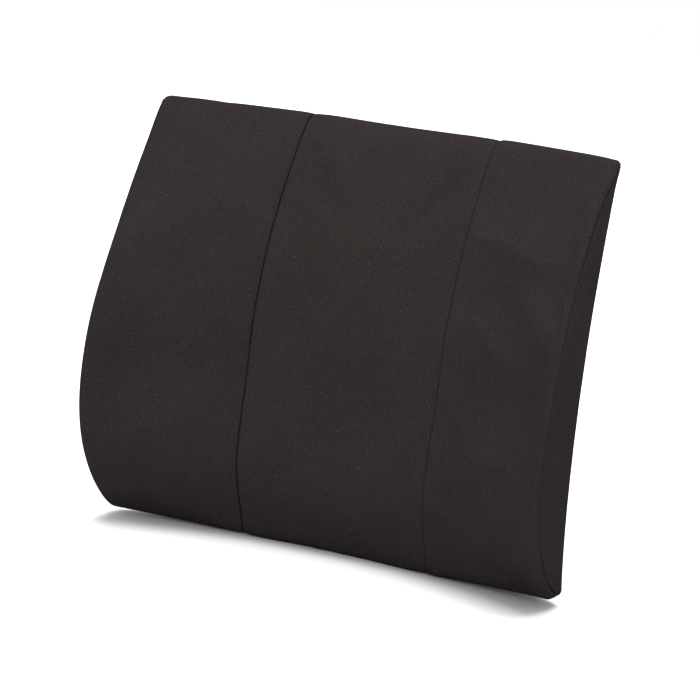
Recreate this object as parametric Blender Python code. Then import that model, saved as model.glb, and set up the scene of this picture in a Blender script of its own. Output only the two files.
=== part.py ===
"""A bucket-shaped lumbar support cushion: contoured foam with a stiffening board, in a sewn cover with a zip.

Units are metres. +X is to the right as seen from the front, -Y is the front, which meets the sitter's back, and
+Z is up. The origin is on the floor, under the middle of the whole object. The foam hollows forward into two wings,
one on each side, so the front is concave across its width and the back is rounded. The cover is two side panels,
three front panels that wrap over the top and under the bottom, and two back panels that a vertical zip joins.
"""

from math import pi

import bmesh
import bpy
import numpy as np

# Overall size
WIDTH = 0.356
HEIGHT = 0.320
HALF_WIDTH = WIDTH / 2

# Front: the depths are in front of the line through the wings' back corners. A hump is how a depth swells and
# falls again over the height: where it peaks (skew), and how full it is below and above its peak.
FRONT_SEAM_X = 0.075
RIM_CORNER_DEPTH = 0.007
RIM_CROWN = 0.082
RIM_HUMP = {"skew": 0.66, "below": 1.03, "above": 0.78}
SEAM_DEPTH_BOTTOM = 0.001
SEAM_DEPTH_TOP = -0.028
SEAM_CROWN = 0.044
SEAM_HUMP = {"skew": 0.84, "below": 1.3, "above": 0.76}

# Back: flat in the middle, then rounding forward to the wings' back corners
BACK_BULGE = 0.048
BACK_FLAT_HALF = 0.070
BACK_ROUND_POWER = 1.9
RIM_BACK_BOW = 0.018

# How far the back's upper and lower seams run from the top and the bottom, as a share of the height
BACK_SEAM_SHARE = 0.03

# Where the section's outline has its corners, as shares of the depth under it and of the height up it. An outline
# passes through the middle between two corners, so the back's first and last one are two seam shares from its ends.
UNDER_CORNERS = (0.3, 0.7)
RISING_CORNERS = (0.04, 0.11, 0.2, 0.3, 0.4, 0.5, 0.6, 0.7, 0.79, 0.87, 0.94)
FALLING_CORNERS = (1 - 2 * BACK_SEAM_SHARE, 0.82, 0.66, 0.5, 0.34, 0.18, 2 * BACK_SEAM_SHARE)
END_CORNER_POINTS = 4
RISING_CORNER_POINTS = 2

# Cover and what is under it
COVER = 0.0012
GAP = 0.0003
FOAM_INSET = COVER + 0.0005
SEAM_HALF_GAP = 0.0007
THREAD_RADIUS = 0.00035
STATIONS_PER_SIDE_PANEL = 8
STATIONS_PER_CENTRE_PANEL = 8
STATIONS_PER_BACK_WING = 7
SIDE_EDGE_X = HALF_WIDTH - COVER - 2 * SEAM_HALF_GAP

# Board, in a slot that opens at the foam's underside
BOARD_WIDTH = 0.230
BOARD_HEIGHT = 0.250
BOARD_THICKNESS = 0.003
BOARD_BOTTOM = 0.006
BOARD_BEHIND_RIM = 0.022
BOARD_CORNER = 0.012
SLOT_CLEARANCE = 0.0004
CUT_REACH = 0.01  # how far a cutter runs past the face that it opens

# Zip, on the flat middle of the back; distances out of the back are from the cover's outer face
ZIP_BOTTOM = 0.040
ZIP_LENGTH = 0.250
ZIP_TOP = ZIP_BOTTOM + ZIP_LENGTH
ZIP_SLIT_HALF = 0.0008
TAPE_HALF_WIDTH = 0.012
TAPE_THICKNESS = 0.0006
TAPE_OUT = -(COVER + GAP)
TAPE_MARGIN = 0.005
COIL_WIDTH = 0.0018
COIL_THICKNESS = 0.0014
COIL_OUT = TAPE_OUT + GAP
COIL_ROUNDING = 0.0004
WINDOW_HALF_WIDTH = 0.0055
STOP_LENGTH = 0.0016
STOP_MARGIN = 0.001
STOP_OVERHANG = 0.0004
STOP_THICKNESS = COIL_THICKNESS + 0.0002
STOP_ROUNDING = 0.0003
RECESS_DEPTH = 0.0039
RECESS_MARGIN = 0.006

# Slider and its pull tab
SLIDER_LENGTH = 0.010
SLIDER_HALF_WIDTH = 0.0042
SLIDER_WEB_HALF = 0.00045
SLIDER_LIP = 0.0008
SLIDER_LIP_DROP = 0.0011
SLIDER_CLEARANCE = 0.0004
SLIDER_PLATE = 0.001
BOTTOM_PLATE_OUT = TAPE_OUT - TAPE_THICKNESS - GAP
TOP_PLATE_OUT = 0.0015
BAIL_HALF_WIDTH = 0.0012
BAIL_REACH = 0.0027
BAIL_WALL = 0.0008
BAIL_RISE = 0.0028
BAIL_ROOT = 0.0005
TAB_THICKNESS = 0.0011
TAB_LENGTH = 0.022
TAB_HALF_WIDTH = 0.0034
TAB_EYE_HALF_WIDTH = 0.0016
TAB_EYE_LENGTH = 0.0047
TAB_CORNER = 0.0012
SLIDER_CLOSED_Z = ZIP_BOTTOM + STOP_MARGIN + STOP_LENGTH + SLIDER_CLEARANCE + SLIDER_LENGTH / 2

FABRIC_COLOUR = (0.031, 0.027, 0.026)


# ---------------------------------------------------------------- the cushion's shape


def hump(t, skew, below, above):
    """0 at the bottom (t = 0) and at the top (t = 1), and 1 where t ** skew is a half.

    below and above are powers that say how full the hump is on each side of its peak: a smaller one is fuller.
    """
    warped = t**skew
    wave = max(np.sin(pi * warped), 0.0)
    return wave ** (below if warped < 0.5 else above)


def front_depth(x, t):
    """How far the front stands forward of the wings' back corners, at x and at a share t of the height."""
    rim = RIM_CORNER_DEPTH + RIM_CROWN * hump(t, **RIM_HUMP)
    seam_line = SEAM_DEPTH_BOTTOM + (SEAM_DEPTH_TOP - SEAM_DEPTH_BOTTOM) * t
    seam = seam_line + SEAM_CROWN * hump(t, **SEAM_HUMP)
    across = (x**2 - FRONT_SEAM_X**2) / (HALF_WIDTH**2 - FRONT_SEAM_X**2)
    return seam + (rim - seam) * across


def back_y(x, t):
    """The back's place at x and at a share t of the height, behind the line through the wings' back corners."""
    out = max(abs(x) - BACK_FLAT_HALF, 0.0) / (HALF_WIDTH - BACK_FLAT_HALF)
    bow = RIM_BACK_BOW * 4 * t * (1 - t)
    return BACK_BULGE - (BACK_BULGE + bow) * out**BACK_ROUND_POWER


def control_outline(x, inset):
    """The corners of the section at x, inset from the cover's outer face, with how many points round each off."""
    def front(t, points=1):
        return (inset - front_depth(x, t), inset + t * (HEIGHT - 2 * inset), points)

    def back(t, points=1):
        return (back_y(x, t) - inset, inset + t * (HEIGHT - 2 * inset), points)

    bottom_front = front(0.0, END_CORNER_POINTS)
    bottom_back = back(0.0, END_CORNER_POINTS)
    depth = bottom_front[0] - bottom_back[0]
    under = [(bottom_back[0] + share * depth, inset, 1) for share in UNDER_CORNERS]
    rising = [front(t, RISING_CORNER_POINTS) for t in RISING_CORNERS]
    top = [front(1.0, END_CORNER_POINTS), back(1.0, END_CORNER_POINTS)]
    falling = [back(t) for t in FALLING_CORNERS]
    return [bottom_back, *under, bottom_front, *rising, *top, *falling]


def rounded(corners):
    """A closed outline that touches the middle of every side of a polygon: each corner becomes a parabola."""
    points = []
    starts = []
    count = len(corners)
    for i, (y, z, steps) in enumerate(corners):
        corner = np.array((y, z))
        before = (corner + np.array(corners[i - 1][:2])) / 2
        after = (corner + np.array(corners[(i + 1) % count][:2])) / 2
        starts.append(len(points))
        for step in range(steps):
            s = step / steps
            points.append((1 - s) ** 2 * before + 2 * s * (1 - s) * corner + s**2 * after)
    return np.array(points), starts


def section(x, inset):
    """The closed outline (y, z) of the cushion at x, inset from the cover's outer face, in the object's frame."""
    points, _ = rounded(control_outline(x, inset))
    return points + np.array((FRAME_SHIFT, 0.0))


def frame_shift():
    """How far back everything moves, so that the origin is under the middle of the object's depth."""
    rim, _ = rounded(control_outline(HALF_WIDTH, 0.0))
    farthest_back = BACK_BULGE + TOP_PLATE_OUT + BAIL_RISE
    return -(rim[:, 0].min() + farthest_back) / 2


FRAME_SHIFT = frame_shift()
BACK_FACE = BACK_BULGE + FRAME_SHIFT
CORNER_STARTS = rounded(control_outline(0.0, 0.0))[1]
TOP_SEAM_ROW = CORNER_STARTS[-len(FALLING_CORNERS)]
LOOP_LENGTH = len(section(0.0, 0.0))


def row_range(first, last):
    """Loop positions from first to last, counted on past the loop's end."""
    return [row % LOOP_LENGTH for row in range(first, last + 1)]


# ---------------------------------------------------------------- making objects


def clear_scene():
    for obj in list(bpy.data.objects):
        bpy.data.objects.remove(obj, do_unlink=True)


def material(name, colour, roughness, metallic=0.0):
    found = bpy.data.materials.get(name)
    if found:
        return found
    made = bpy.data.materials.new(name)
    made.use_nodes = True
    shader = made.node_tree.nodes["Principled BSDF"]
    shader.inputs["Base Color"].default_value = (*colour, 1.0)
    shader.inputs["Roughness"].default_value = roughness
    shader.inputs["Metallic"].default_value = metallic
    return made


def fabric(name):
    return material(f"{name}_cloth", FABRIC_COLOUR, 0.9)


def make_object(name, bm, look, smooth=True):
    bmesh.ops.recalc_face_normals(bm, faces=bm.faces)
    mesh = bpy.data.meshes.new(name)
    bm.to_mesh(mesh)
    bm.free()
    if smooth:
        mesh.shade_smooth()
        mesh.set_sharp_from_angle(angle=pi / 5)
    mesh.materials.append(look)
    obj = bpy.data.objects.new(name, mesh)
    bpy.context.collection.objects.link(obj)
    return obj


def box_mesh(low, high):
    """A closed box between two corners."""
    bm = bmesh.new()
    bmesh.ops.create_cube(bm, size=1.0)
    low = np.array(low)
    high = np.array(high)
    for vert in bm.verts:
        vert.co = (low + high) / 2 + np.array(vert.co) * (high - low)
    return bm


def prism_mesh(outline, direction, length, start):
    """A closed prism: the outline's points in 3-D, moved to start, and extruded by length along direction."""
    bm = bmesh.new()
    step = np.array(direction) * length
    first = [bm.verts.new(np.array(point) + start) for point in outline]
    last = [bm.verts.new(np.array(point) + start + step) for point in outline]
    bm.faces.new(first)
    bm.faces.new(last[::-1])
    for i in range(len(outline)):
        after = (i + 1) % len(outline)
        bm.faces.new((first[i], last[i], last[after], first[after]))
    return bm


def boolean(target, tool_mesh, operation, name):
    """Cuts or joins a closed mesh, which stays as a hidden wire object."""
    tool = make_object(name, tool_mesh, target.data.materials[0], smooth=False)
    tool.hide_render = True
    tool.display_type = "WIRE"
    modifier = target.modifiers.new(name, "BOOLEAN")
    modifier.operation = operation
    modifier.object = tool
    modifier.solver = "EXACT"


# ---------------------------------------------------------------- foam and board


def foam_core():
    """The foam: a loft of sections just inside the cover, with a slot for the board and room behind the zip."""
    bm = bmesh.new()
    reach = HALF_WIDTH - FOAM_INSET
    count = 2 * STATIONS_PER_SIDE_PANEL + STATIONS_PER_CENTRE_PANEL
    rings = []
    for x in np.linspace(-reach, reach, count + 1):
        rings.append([bm.verts.new((x, y, z)) for y, z in section(x, FOAM_INSET)])
    for ring, after in zip(rings, rings[1:]):
        for i in range(LOOP_LENGTH):
            j = (i + 1) % LOOP_LENGTH
            bm.faces.new((ring[i], ring[j], after[j], after[i]))
    bm.faces.new(rings[0])
    bm.faces.new(rings[-1][::-1])
    foam = make_object("foam_core", bm, material("foam", (0.86, 0.80, 0.62), 0.95))

    low, high = board_corners()
    slot_low = (low[0] - SLOT_CLEARANCE, low[1] - SLOT_CLEARANCE, -CUT_REACH)
    slot_high = (high[0] + SLOT_CLEARANCE, high[1] + SLOT_CLEARANCE, high[2] + SLOT_CLEARANCE)
    boolean(foam, box_mesh(slot_low, slot_high), "DIFFERENCE", "board_slot_cutter")

    side = TAPE_HALF_WIDTH + GAP
    recess = box_mesh(
        (-side, BACK_FACE - RECESS_DEPTH, ZIP_BOTTOM - RECESS_MARGIN),
        (side, BACK_FACE + CUT_REACH, ZIP_TOP + RECESS_MARGIN),
    )
    boolean(foam, recess, "DIFFERENCE", "zip_recess_cutter")


def board_corners():
    front = FRAME_SHIFT + BOARD_BEHIND_RIM
    low = (-BOARD_WIDTH / 2, front, BOARD_BOTTOM)
    high = (BOARD_WIDTH / 2, front + BOARD_THICKNESS, BOARD_BOTTOM + BOARD_HEIGHT)
    return low, high


def insert_board():
    """A thin hardboard sheet that keeps the cushion from folding, with its four corners rounded."""
    low, high = board_corners()
    bm = box_mesh(low, high)
    along_y = [e for e in bm.edges if abs(e.verts[0].co.y - e.verts[1].co.y) > BOARD_THICKNESS / 2]
    bmesh.ops.bevel(bm, geom=along_y, offset=BOARD_CORNER, segments=4, affect="EDGES", profile=0.5)
    make_object("insert_board", bm, material("hardboard", (0.24, 0.13, 0.06), 0.6))


# ---------------------------------------------------------------- cover


def shell_mesh(stations, rows):
    """A closed sheet as thick as the cover, over some stations across the width and some rows of the outline."""
    bm = bmesh.new()
    layers = []
    for inset in (0.0, COVER):
        grid = []
        for x in stations:
            outline = section(x, inset)
            grid.append([bm.verts.new((x, *outline[row])) for row in rows])
        layers.append(grid)
    outer, inner = layers
    last_station = len(stations) - 1
    last_row = len(rows) - 1
    for i in range(last_station):
        for j in range(last_row):
            bm.faces.new((outer[i][j], outer[i + 1][j], outer[i + 1][j + 1], outer[i][j + 1]))
            bm.faces.new((inner[i][j], inner[i][j + 1], inner[i + 1][j + 1], inner[i + 1][j]))
        for j in (0, last_row):
            bm.faces.new((outer[i][j], inner[i][j], inner[i + 1][j], outer[i + 1][j]))
    for j in range(last_row):
        for i in (0, last_station):
            bm.faces.new((outer[i][j], outer[i][j + 1], inner[i][j + 1], inner[i][j]))
    return bm


def front_panels():
    """Three panels that start at the back's lower seam, wrap under, up the front and over to its upper seam."""
    rows = row_range(0, TOP_SEAM_ROW)
    inner_edge = FRONT_SEAM_X + SEAM_HALF_GAP
    side = np.linspace(inner_edge, SIDE_EDGE_X, STATIONS_PER_SIDE_PANEL + 1)
    centre_edge = FRONT_SEAM_X - SEAM_HALF_GAP
    centre = np.linspace(-centre_edge, centre_edge, STATIONS_PER_CENTRE_PANEL + 1)
    for name, stations in (
        ("front_left_panel", -side[::-1]),
        ("front_centre_panel", centre),
        ("front_right_panel", side),
    ):
        make_object(name, shell_mesh(stations, rows), fabric(name))


def back_panels():
    """Two panels that meet at the zip, each with half of the window that the zip shows through."""
    rows = row_range(TOP_SEAM_ROW, LOOP_LENGTH)
    wing = np.linspace(BACK_FLAT_HALF, SIDE_EDGE_X, STATIONS_PER_BACK_WING + 1)
    stations = np.concatenate([(GAP, BACK_FLAT_HALF / 2), wing])
    for name, places in (("back_left_panel", -stations[::-1]), ("back_right_panel", stations)):
        panel = make_object(name, shell_mesh(places, rows), fabric(name))
        shorten_rows(panel)
        window = box_mesh(
            (-WINDOW_HALF_WIDTH, BACK_FACE - CUT_REACH, ZIP_BOTTOM),
            (WINDOW_HALF_WIDTH, BACK_FACE + CUT_REACH, ZIP_TOP),
        )
        boolean(panel, window, "DIFFERENCE", f"{name}_window_cutter")


def shorten_rows(panel):
    """Draws a back panel's upper and lower edges in by the seam's gap, so that the front panels clear them."""
    heights = [vert.co.z for vert in panel.data.vertices]
    low = min(heights)
    high = max(heights)
    middle = (low + high) / 2
    shrink = 1 - 4 * SEAM_HALF_GAP / (high - low)
    for vert in panel.data.vertices:
        vert.co.z = middle + (vert.co.z - middle) * shrink


def side_panels():
    """The flat panels that close the two ends, pointed at the top and rounded at the bottom."""
    outline = [(0.0, y, z) for y, z in section(HALF_WIDTH, 0.0)]
    for name, start in (("left_side_panel", -HALF_WIDTH), ("right_side_panel", HALF_WIDTH - COVER)):
        bm = prism_mesh(outline, (1, 0, 0), COVER, (start, 0, 0))
        make_object(name, bm, fabric(name))


def thread(name, points, closed=False):
    """A seam's thread, drawn as one thin round cord between the edges of the panels that it holds together."""
    curve = bpy.data.curves.new(name, "CURVE")
    curve.dimensions = "3D"
    curve.bevel_depth = THREAD_RADIUS
    curve.bevel_resolution = 0
    curve.use_fill_caps = True
    spline = curve.splines.new("POLY")
    spline.points.add(len(points) - 1)
    for knot, point in zip(spline.points, points):
        knot.co = (*point, 1.0)
    spline.use_cyclic_u = closed
    curve.materials.append(material("sewing_thread", (0.012, 0.011, 0.011), 0.6))
    obj = bpy.data.objects.new(name, curve)
    bpy.context.collection.objects.link(obj)


def seam_threads():
    depth = COVER / 2
    side_x = HALF_WIDTH - COVER - SEAM_HALF_GAP
    for sign, side in ((-1, "left"), (1, "right")):
        front = section(FRONT_SEAM_X, depth)
        rows = row_range(1, TOP_SEAM_ROW - 1)
        thread(f"{side}_front_seam_thread", [(sign * FRONT_SEAM_X, *front[row]) for row in rows])
        around = section(side_x, depth)
        thread(f"{side}_side_seam_thread", [(sign * side_x, y, z) for y, z in around], closed=True)
    reach = side_x - 2 * SEAM_HALF_GAP
    places = np.linspace(-reach, reach, 2 * STATIONS_PER_SIDE_PANEL + STATIONS_PER_CENTRE_PANEL + 1)
    for name, row, lift in (
        ("top_seam_thread", TOP_SEAM_ROW, -SEAM_HALF_GAP),
        ("bottom_seam_thread", 0, SEAM_HALF_GAP),
    ):
        route = []
        for x in places:
            y, z = section(x, depth)[row]
            route.append((x, y, z + lift))
        thread(name, route)


# ---------------------------------------------------------------- zip


def zip_tapes_and_coils():
    tape_look = material("zip_tape", (0.02, 0.02, 0.02), 0.85)
    coil_look = material("zip_coil", (0.012, 0.012, 0.012), 0.4)
    coil_end = STOP_MARGIN + STOP_LENGTH + GAP
    for sign, side in ((-1, "left"), (1, "right")):
        tape_x = sorted((sign * ZIP_SLIT_HALF, sign * TAPE_HALF_WIDTH))
        tape = box_mesh(
            (tape_x[0], BACK_FACE + TAPE_OUT - TAPE_THICKNESS, ZIP_BOTTOM - TAPE_MARGIN),
            (tape_x[1], BACK_FACE + TAPE_OUT, ZIP_TOP + TAPE_MARGIN),
        )
        make_object(f"zip_tape_{side}", tape, tape_look)
        coil_x = sorted((sign * ZIP_SLIT_HALF, sign * (ZIP_SLIT_HALF + COIL_WIDTH)))
        coil = box_mesh(
            (coil_x[0], BACK_FACE + COIL_OUT, ZIP_BOTTOM + coil_end),
            (coil_x[1], BACK_FACE + COIL_OUT + COIL_THICKNESS, ZIP_TOP - coil_end),
        )
        round_long_edges(coil, COIL_ROUNDING)
        make_object(f"zip_coil_{side}", coil, coil_look)


def round_long_edges(bm, radius):
    """Rounds the upright edges of a box."""
    upright = [e for e in bm.edges if abs(e.verts[0].co.z - e.verts[1].co.z) > 2 * radius]
    bmesh.ops.bevel(bm, geom=upright, offset=radius, segments=2, affect="EDGES", profile=0.5)


def zip_stops():
    """One stop on each row of teeth at the closed end, and one across both rows at the open end."""
    look = material("zip_stop", (0.02, 0.02, 0.02), 0.35, 0.6)
    inner = ZIP_SLIT_HALF
    outer = ZIP_SLIT_HALF + COIL_WIDTH + STOP_OVERHANG
    closed_z = ZIP_BOTTOM + STOP_MARGIN
    open_z = ZIP_TOP - STOP_MARGIN - STOP_LENGTH
    for name, low_x, high_x, z in (
        ("zip_stop_left", -outer, -inner, closed_z),
        ("zip_stop_right", inner, outer, closed_z),
        ("zip_open_end_stop", -outer, outer, open_z),
    ):
        stop = box_mesh(
            (low_x, BACK_FACE + COIL_OUT, z),
            (high_x, BACK_FACE + COIL_OUT + STOP_THICKNESS, z + STOP_LENGTH),
        )
        round_long_edges(stop, STOP_ROUNDING)
        make_object(name, stop, look)


def zip_slider():
    """An I-shaped body whose web runs between the rows of teeth, with a bail on top for the pull tab."""
    wide = SLIDER_HALF_WIDTH
    web = SLIDER_WEB_HALF
    top = TOP_PLATE_OUT
    under_top = top - SLIDER_PLATE
    lip = under_top - SLIDER_LIP_DROP
    above_bottom = BOTTOM_PLATE_OUT
    bottom = above_bottom - SLIDER_PLATE
    right_half = [
        (wide - SLIDER_LIP, bottom),
        (wide - SLIDER_LIP, above_bottom),
        (web, above_bottom),
        (web, under_top),
        (wide - SLIDER_LIP, under_top),
        (wide - SLIDER_LIP, lip),
        (wide, lip),
        (wide, top - SLIDER_LIP / 2),
        (wide - SLIDER_LIP, top),
    ]
    left_half = [(-x, out) for x, out in reversed(right_half)]
    outline = [(x, BACK_FACE + out, 0.0) for x, out in right_half + left_half]
    look = material("zip_slider", (0.03, 0.03, 0.032), 0.35, 0.8)
    start = SLIDER_CLOSED_Z - SLIDER_LENGTH / 2
    body = prism_mesh(outline, (0, 0, 1), SLIDER_LENGTH, (0, 0, start))
    slider = make_object("zip_slider", body, look, smooth=False)

    inside = BAIL_REACH - BAIL_WALL
    arch = [
        (-BAIL_REACH, -BAIL_ROOT),
        (-BAIL_REACH, BAIL_RISE - BAIL_WALL),
        (-inside, BAIL_RISE),
        (inside, BAIL_RISE),
        (BAIL_REACH, BAIL_RISE - BAIL_WALL),
        (BAIL_REACH, -BAIL_ROOT),
        (inside, -BAIL_ROOT),
        (inside, BAIL_RISE - BAIL_WALL),
        (-inside, BAIL_RISE - BAIL_WALL),
        (-inside, -BAIL_ROOT),
    ]
    outline = [(0.0, BACK_FACE + top + out, SLIDER_CLOSED_Z + along) for along, out in arch]
    bail = prism_mesh(outline, (1, 0, 0), 2 * BAIL_HALF_WIDTH, (-BAIL_HALF_WIDTH, 0, 0))
    boolean(slider, bail, "UNION", "bail_guide")


def pull_tab_axis_out():
    """How far the pull tab's pivot stands out of the back: in the middle of the room under the bail."""
    return TOP_PLATE_OUT + (BAIL_RISE - BAIL_WALL) / 2


def zip_pull_tab():
    """A flat tab with an eye: the short bar beyond the eye lies under the slider's bail and is the pivot."""
    half = TAB_THICKNESS / 2
    corner = TAB_CORNER
    plate = [
        (-TAB_HALF_WIDTH + corner, half),
        (TAB_HALF_WIDTH - corner, half),
        (TAB_HALF_WIDTH - corner / 3, half - corner),
        (TAB_HALF_WIDTH, -TAB_LENGTH + corner),
        (TAB_HALF_WIDTH - corner, -TAB_LENGTH),
        (-TAB_HALF_WIDTH + corner, -TAB_LENGTH),
        (-TAB_HALF_WIDTH, -TAB_LENGTH + corner),
        (-TAB_HALF_WIDTH + corner / 3, half - corner),
    ]
    pivot = BACK_FACE + pull_tab_axis_out()
    outline = [(x, pivot - half, SLIDER_CLOSED_Z + z) for x, z in plate]
    body = prism_mesh(outline, (0, 1, 0), TAB_THICKNESS, (0, 0, 0))
    look = material("zip_pull", (0.03, 0.03, 0.032), 0.3, 0.8)
    tab = make_object("zip_pull_tab", body, look, smooth=False)
    eye = box_mesh(
        (-TAB_EYE_HALF_WIDTH, pivot - CUT_REACH, SLIDER_CLOSED_Z - half - TAB_EYE_LENGTH),
        (TAB_EYE_HALF_WIDTH, pivot + CUT_REACH, SLIDER_CLOSED_Z - half),
    )
    boolean(tab, eye, "DIFFERENCE", "eye_cutter")


def main():
    clear_scene()
    foam_core()
    insert_board()
    front_panels()
    back_panels()
    side_panels()
    seam_threads()
    zip_tapes_and_coils()
    zip_stops()
    zip_slider()
    zip_pull_tab()


main()
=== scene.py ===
"""The looks of the lumbar support cushion: its sewn cover, foam, board and zip, the studio and camera."""

from math import cos, pi, radians, sin

import bmesh
import bpy
import numpy as np
from mathutils import Matrix, Vector


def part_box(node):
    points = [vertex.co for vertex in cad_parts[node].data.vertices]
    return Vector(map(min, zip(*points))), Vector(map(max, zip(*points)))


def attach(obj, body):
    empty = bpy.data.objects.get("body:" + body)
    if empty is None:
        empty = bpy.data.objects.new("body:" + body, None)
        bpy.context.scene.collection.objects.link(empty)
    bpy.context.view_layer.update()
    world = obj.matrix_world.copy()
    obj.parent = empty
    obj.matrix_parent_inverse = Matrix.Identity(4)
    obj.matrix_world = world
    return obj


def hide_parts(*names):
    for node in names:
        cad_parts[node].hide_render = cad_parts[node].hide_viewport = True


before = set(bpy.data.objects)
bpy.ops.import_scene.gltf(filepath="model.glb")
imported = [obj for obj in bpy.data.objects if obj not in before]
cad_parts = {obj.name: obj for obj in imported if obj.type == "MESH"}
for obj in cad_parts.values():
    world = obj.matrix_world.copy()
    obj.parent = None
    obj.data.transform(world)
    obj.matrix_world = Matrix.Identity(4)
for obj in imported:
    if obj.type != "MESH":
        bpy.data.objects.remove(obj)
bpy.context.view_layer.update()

MM = 0.001

# ------------ sizes, read from the frame

SIDE_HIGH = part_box("right_side_panel")[1]
HALF_WIDTH = SIDE_HIGH.x
HEIGHT = SIDE_HIGH.z
BACK_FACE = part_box("back_left_panel")[1].y
TAPE_LOW, TAPE_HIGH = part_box("zip_tape_left")
TAPE_TUCK = 5 * MM
ZIP_BOTTOM = TAPE_LOW.z + TAPE_TUCK
ZIP_TOP = TAPE_HIGH.z - TAPE_TUCK

# The outline, as the CAD model has it. Depths are in front of the wings' back corners. A share is of the
# cushion's height, and a hump's numbers skew a wave up that height and sharpen it below and above its top.
FRONT_SEAM_X = 75 * MM
RIM_CORNER_DEPTH = 7 * MM
RIM_CROWN = 82 * MM
RIM_HUMP = {"skew": 0.66, "below": 1.03, "above": 0.78}
SEAM_DEPTH_BOTTOM = 1 * MM
SEAM_DEPTH_TOP = -28 * MM
SEAM_CROWN = 44 * MM
SEAM_HUMP = {"skew": 0.84, "below": 1.3, "above": 0.76}
BACK_BULGE = 48 * MM
BACK_FLAT_HALF = 70 * MM
BACK_ROUND_POWER = 1.9
RIM_BACK_BOW = 18 * MM
BACK_SEAM_SHARE = 0.03
WING_LINE = BACK_FACE - BACK_BULGE

# Where the sewn cover leaves that outline: its rims reach further forward at the foot, its bottom corners
# lift (left -1, right 1), and the rims' seams are drawn in up the front.
RIM_FOOT = 16 * MM
RIM_FOOT_SHARE = 0.08
CORNER_LIFT = {-1: 5.5 * MM, 1: 8 * MM}
CORNER_LIFT_POWER = 1.1
LIFT_FROM_X = 60 * MM
LIFT_SHARE = 0.2
PINCH = 3.8 * MM
PINCH_REACH = 11 * MM
PINCH_FROM_SHARE, PINCH_TO_SHARE = 0.45, 0.75
PINCH_END_SHARE = 0.12
MOST_INSET_SHARE = 0.45

# The rims' edges are a quarter round, with the seam most of the way round from the end panel
END_X = HALF_WIDTH + 3.2 * MM
EDGE_RADIUS = 6.5 * MM
SEAM_TURN = radians(68)
EDGE_CUT = EDGE_RADIUS * (1 - cos(SEAM_TURN))
END_RISE = EDGE_RADIUS * (1 - sin(SEAM_TURN))
RIM_SEAM_X = END_X - END_RISE

# Seams. A sink is how far the cloth has sunk at a seam, and over what width.
SEAM_GROOVE = (1.2 * MM, 1.0 * MM)
SEAM_PULL = (0.9 * MM, 12 * MM)
FOLD_SINK = (0.5 * MM, 1.2 * MM)
MOST_SUNK = 2.3 * MM
SEAM_SLIT = 0.4 * MM
SEAM_ALLOWANCE = 2.2 * MM
FOLD_ALLOWANCE = 0.9 * MM
WINDOW_HALF = 5.5 * MM
WINDOW_END_LENGTH = 6 * MM

# Cloth. Lines of points lie close beside a seam and further apart away from it.
CLOTH = 0.8 * MM
FRONT_FLAT_LENGTH = 0.45
END_PANEL_FLAT = (0.1, HEIGHT)
END_PANEL_AREA = 0.0162
BACK_PANEL_FLAT = (0.205, 0.301)
FINE_STEP = 3.2 * MM
COARSE_STEP = 5.5 * MM
NEAR_SEAM = (0.12 * MM, 0.35 * MM, 0.7 * MM, 1.3 * MM, 2.2 * MM, 3.4 * MM, 5.2 * MM, 7.6 * MM)
CLOTH_SPACING_IN_UV = 0.7
SWELL_CAP = 3.5 * MM
SIM_FRAMES = 20
CLOTH_SETTINGS = {
    "quality": 5,
    "mass": 0.2,
    "tension_stiffness": 40,
    "compression_stiffness": 40,
    "shear_stiffness": 15,
    "bending_stiffness": 3.0,
    "air_damping": 2.0,
    "shrink_min": -0.002,
    "use_pressure": True,
    "uniform_pressure_force": 4.0,
}

# Foam and board
FOAM_INSET = 3.4 * MM
FOAM_STEP = 5 * MM
FOAM_END = RIM_SEAM_X - 4.5 * MM
FOAM_EDGE_RADIUS = 8 * MM
FOAM_LOOP = 170
RECESS_HALF = 14 * MM
RECESS_INSET = 4.3 * MM
RECESS_PAST_ZIP = 9 * MM
RECESS_SLOPE = 3 * MM
SLOT_CLEARANCE = 0.4 * MM
SLOT_THROUGH = 10 * MM
BOARD_CORNER = 12 * MM
BOARD_EDGE = 0.5 * MM

# Thread: each stitch is a bow with its two ends sunk in the cloth
THREAD_RADIUS = 0.17 * MM
STITCH_PITCH = 3.0 * MM
STITCH_LENGTH = 2.4 * MM
STITCH_PROUD = 0.1 * MM
STITCH_SUNK = 0.45 * MM
TOPSTITCH_ASIDE = 2.2 * MM

# Zip
ZIP_SLIT_HALF = 0.25 * MM
TAPE_RIPPLE = 0.03 * MM
TAPE_RIPPLE_LENGTH = 11 * MM
COIL_PITCH = 1.25 * MM
COIL_WIRE = 0.2 * MM
TURN_POINTS = 10


# ------------ the cushion's shape


def hump(t, skew, below, above):
    """0 at the bottom (t = 0) and at the top (t = 1), and 1 where t ** skew is a half."""
    warped = np.clip(t, 0.0, 1.0) ** skew
    wave = np.maximum(np.sin(pi * warped), 0.0)
    return wave ** np.where(warped < 0.5, below, above)


def front_depth(x, t):
    """How far the front lies in front of the wings' back corners, at x and at a share t of the height."""
    foot = RIM_FOOT * np.maximum(1 - t / RIM_FOOT_SHARE, 0.0) ** 2
    rim = RIM_CORNER_DEPTH + RIM_CROWN * hump(t, **RIM_HUMP) + foot
    seam_line = SEAM_DEPTH_BOTTOM + (SEAM_DEPTH_TOP - SEAM_DEPTH_BOTTOM) * t
    seam = seam_line + SEAM_CROWN * hump(t, **SEAM_HUMP)
    across = (x**2 - FRONT_SEAM_X**2) / (HALF_WIDTH**2 - FRONT_SEAM_X**2)
    return seam + (rim - seam) * across


def back_y(x, t):
    out = np.maximum(np.abs(x) - BACK_FLAT_HALF, 0.0) / (HALF_WIDTH - BACK_FLAT_HALF)
    bow = RIM_BACK_BOW * 4 * t * (1 - t)
    return WING_LINE + BACK_BULGE - (BACK_BULGE + bow) * out**BACK_ROUND_POWER


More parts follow.
